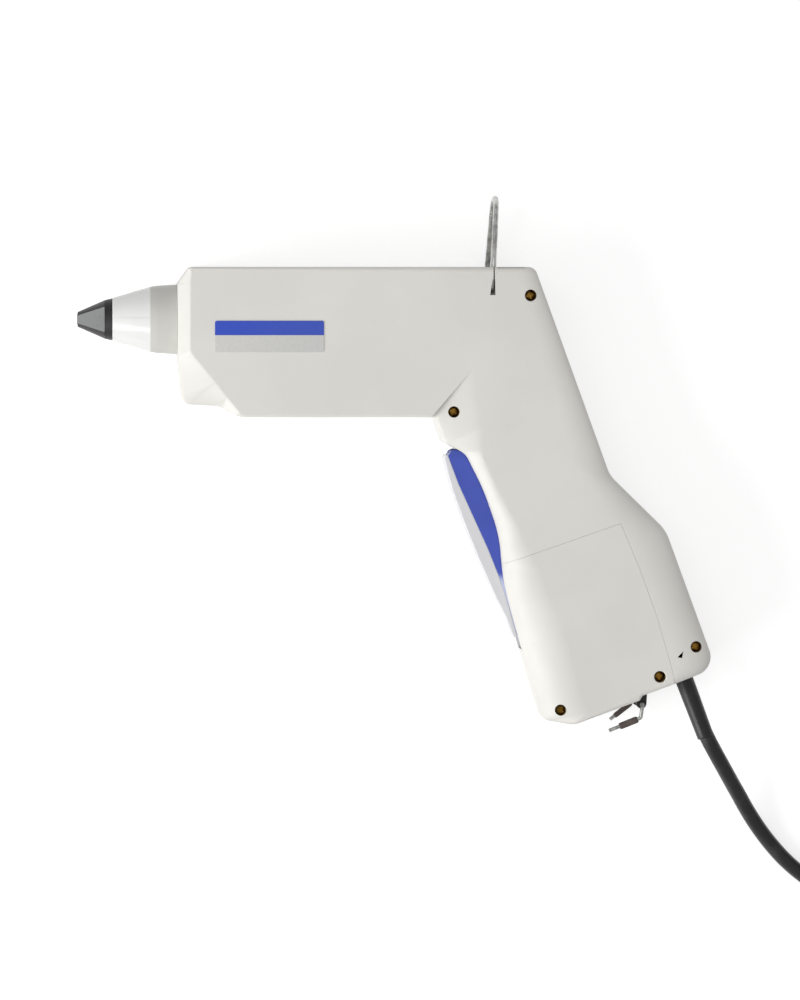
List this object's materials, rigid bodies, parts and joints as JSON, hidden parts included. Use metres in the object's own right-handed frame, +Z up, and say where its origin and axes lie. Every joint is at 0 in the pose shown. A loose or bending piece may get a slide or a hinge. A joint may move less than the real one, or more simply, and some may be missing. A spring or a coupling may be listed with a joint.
{
  "type": "glue gun",
  "caption": "Pistol-shaped hot-melt glue gun lying on its side: long trigger, stepped nozzle, wire hanging bail, folding wire stand and coiled mains lead.",
  "frame": {"origin": "on the flat right side that the gun rests on, below the axis of the glue stick", "axes": "+X runs from the nozzle to the back of the casing along the glue stick, +Y from the handle to the top of the barrel, +Z up from the resting side to the left side"},
  "size_m": [0.4322, 0.3105, 0.0443],
  "materials": {
    "casing_plastic": "fine satin moulded plastic",
    "shroud_plastic": "smooth moulded plastic",
    "trigger_blue": "satin moulded plastic",
    "trigger_pad": "satin moulded plastic",
    "label": "printed film, blue over grey, bare",
    "dark_sleeve": "dark grey heat-proof sleeve",
    "black_plastic": "black moulded plastic",
    "inner_plastic": "moulded plastic",
    "terminal_plastic": "moulded plastic",
    "insulator": "pressed insulating board",
    "silicone": "red-brown silicone",
    "brass": "passivated brass",
    "steel": "plain steel",
    "wire_steel": "drawn spring wire",
    "aluminium": "cast aluminium",
    "lead_rubber": "black rubber jacket",
    "lead_colours": "silicone insulated leads"
  },
  "bodies": {
    "casing": {"left_shell": "casing_plastic", "right_shell": "casing_plastic", "handle_cover": "casing_plastic", "casing_screws": "brass", "cover_screws": "brass", "label_plate": "label", "nozzle_shroud": "shroud_plastic", "nozzle_sleeve": "dark_sleeve", "nozzle_ring": "black_plastic", "nozzle": "brass", "valve_spring": "steel", "melt_chamber": "aluminium", "chamber_supports": "insulator", "heater_cartridges": "steel", "thermostat": "black_plastic", "inlet_collar": "silicone", "front_guide": "inner_plastic", "guide_rods": "steel", "rear_bushing": "inner_plastic", "rocker_pin": "steel", "trigger_pin": "steel", "return_spring": "steel", "terminal_block": "terminal_plastic", "internal_leads": "lead_colours", "cord_clamp": "inner_plastic", "clamp_screws": "steel", "stand_brackets": "black_plastic", "cord_boot": "lead_rubber", "cord": "lead_rubber", "cord_coil": "lead_rubber", "cord_tie": "black_plastic", "plug_body": "lead_rubber", "plug_pins": "brass"},
    "valve": {"valve_ball": "steel"},
    "carriage": {"carriage": "inner_plastic", "pawl_pin": "steel"},
    "pawl": {"grip_pawl": "steel"},
    "rocker": {"feed_rocker": "steel"},
    "trigger": {"trigger_lever": "trigger_blue", "trigger_face": "trigger_pad", "drive_pin": "steel"},
    "bail": {"bail": "wire_steel"},
    "stand": {"stand_wire": "wire_steel", "stand_feet": "black_plastic"}
  },
  "joints": [
    {"name": "trigger_pull", "type": "hinge", "parent": "casing", "child": "trigger", "pos_m": [0.0714, -0.1304, 0.022], "axis": [0, 0, -1], "range_deg": [0, 10], "stiffness_Nm_per_rad": 0.8, "springref_deg": -11.46, "deforming": ["return_spring"]},
    {"name": "rocker_swing", "type": "hinge", "parent": "casing", "child": "rocker", "pos_m": [0.0521, -0.0435, 0.022], "axis": [0, 0, 1], "range_deg": [0, 25]},
    {"name": "carriage_feed", "type": "slide", "parent": "casing", "child": "carriage", "axis": [-1, 0, 0], "range_m": [0, 0.0194]},
    {"name": "pawl_bite", "type": "hinge", "parent": "carriage", "child": "pawl", "pos_m": [0.0587, 0.0125, 0.022], "axis": [0, 0, 1], "range_deg": [0, 8], "stiffness_Nm_per_rad": 0.02, "springref_deg": -17.19},
    {"name": "valve_lift", "type": "slide", "parent": "casing", "child": "valve", "axis": [-1, 0, 0], "range_m": [0, 0.0012], "stiffness_N_per_m": 200, "springref_m": -0.001, "deforming": ["valve_spring"]},
    {"name": "bail_fold", "type": "hinge", "parent": "casing", "child": "bail", "pos_m": [0.0552, 0.0124, 0.022], "axis": [0, 0, -1], "range_deg": [0, 45]},
    {"name": "stand_fold", "type": "hinge", "parent": "casing", "child": "stand", "pos_m": [0.1189, -0.162, 0.022], "axis": [0, 0, 1], "range_deg": [0, 55]}
  ],
  "couplings": [
    {"joint": "rocker_swing", "follows": "trigger_pull", "ratio": 2.49},
    {"joint": "carriage_feed", "follows": "trigger_pull", "m_per_rad": 0.11}
  ]
}
